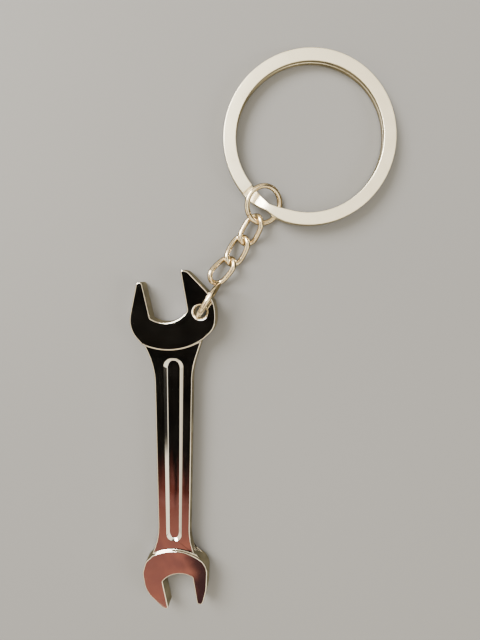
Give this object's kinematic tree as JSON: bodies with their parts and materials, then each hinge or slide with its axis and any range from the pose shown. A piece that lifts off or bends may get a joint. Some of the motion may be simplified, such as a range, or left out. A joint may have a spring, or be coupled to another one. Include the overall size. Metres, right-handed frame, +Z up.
{
  "type": "spanner keyring charm",
  "caption": "Small double open-ended spanner hung by an eye ring and curb chain from a jump ring and a flat split ring; lies flat on a table.",
  "frame": {"origin": "middle of the whole object in plan, on the surface it lies on", "axes": "+Y along the spanner towards the split ring, +X towards the split ring's side, +Z up from the surface"},
  "size_m": [0.0468, 0.1035, 0.0074],
  "materials": {
    "polished_chrome": "mirror-polished plating",
    "chain_nickel": "bright plated wire with a warm tint",
    "ring_nickel": "bright nickel plating, tumbled to a soft shine"
  },
  "bodies": {
    "spanner": {"spanner": "polished_chrome"},
    "eye_ring": {"eye_ring": "chain_nickel"},
    "link_1": {"link_1": "chain_nickel"},
    "link_2": {"link_2": "chain_nickel"},
    "link_3": {"link_3": "chain_nickel"},
    "jump_ring": {"jump_ring": "chain_nickel"},
    "split_ring": {"split_ring": "ring_nickel"}
  },
  "joints": [
    {"name": "eye_ring_swing", "type": "hinge", "parent": "spanner", "child": "eye_ring", "pos_m": [-0.0104, 0.00606, 0.00255], "axis": [0, 0, 1], "range_deg": [-50, 0]},
    {"name": "link_1_swing", "type": "hinge", "parent": "eye_ring", "child": "link_1", "pos_m": [-0.00761, 0.01054, 0.00155], "axis": [0, 0, 1], "range_deg": [-20, 28]},
    {"name": "link_2_swing", "type": "hinge", "parent": "link_1", "child": "link_2", "pos_m": [-0.00512, 0.01523, 0.00142], "axis": [0, 0, 1], "range_deg": [-16, 16]},
    {"name": "link_3_swing", "type": "hinge", "parent": "link_2", "child": "link_3", "pos_m": [-0.00274, 0.01964, 0.0011], "axis": [0, 0, 1], "range_deg": [-24, 6]},
    {"name": "jump_ring_lift", "type": "hinge", "parent": "link_3", "child": "jump_ring", "pos_m": [-0.00046, 0.02224, 0.00183], "axis": [0.8366, -0.249, -0.488], "range_deg": [0, 80]},
    {"name": "split_ring_turn", "type": "hinge", "parent": "jump_ring", "child": "split_ring", "pos_m": [0.00836, 0.03675, 0.00154], "axis": [0.007, 0.0366, 0.9993], "continuous": true}
  ]
}
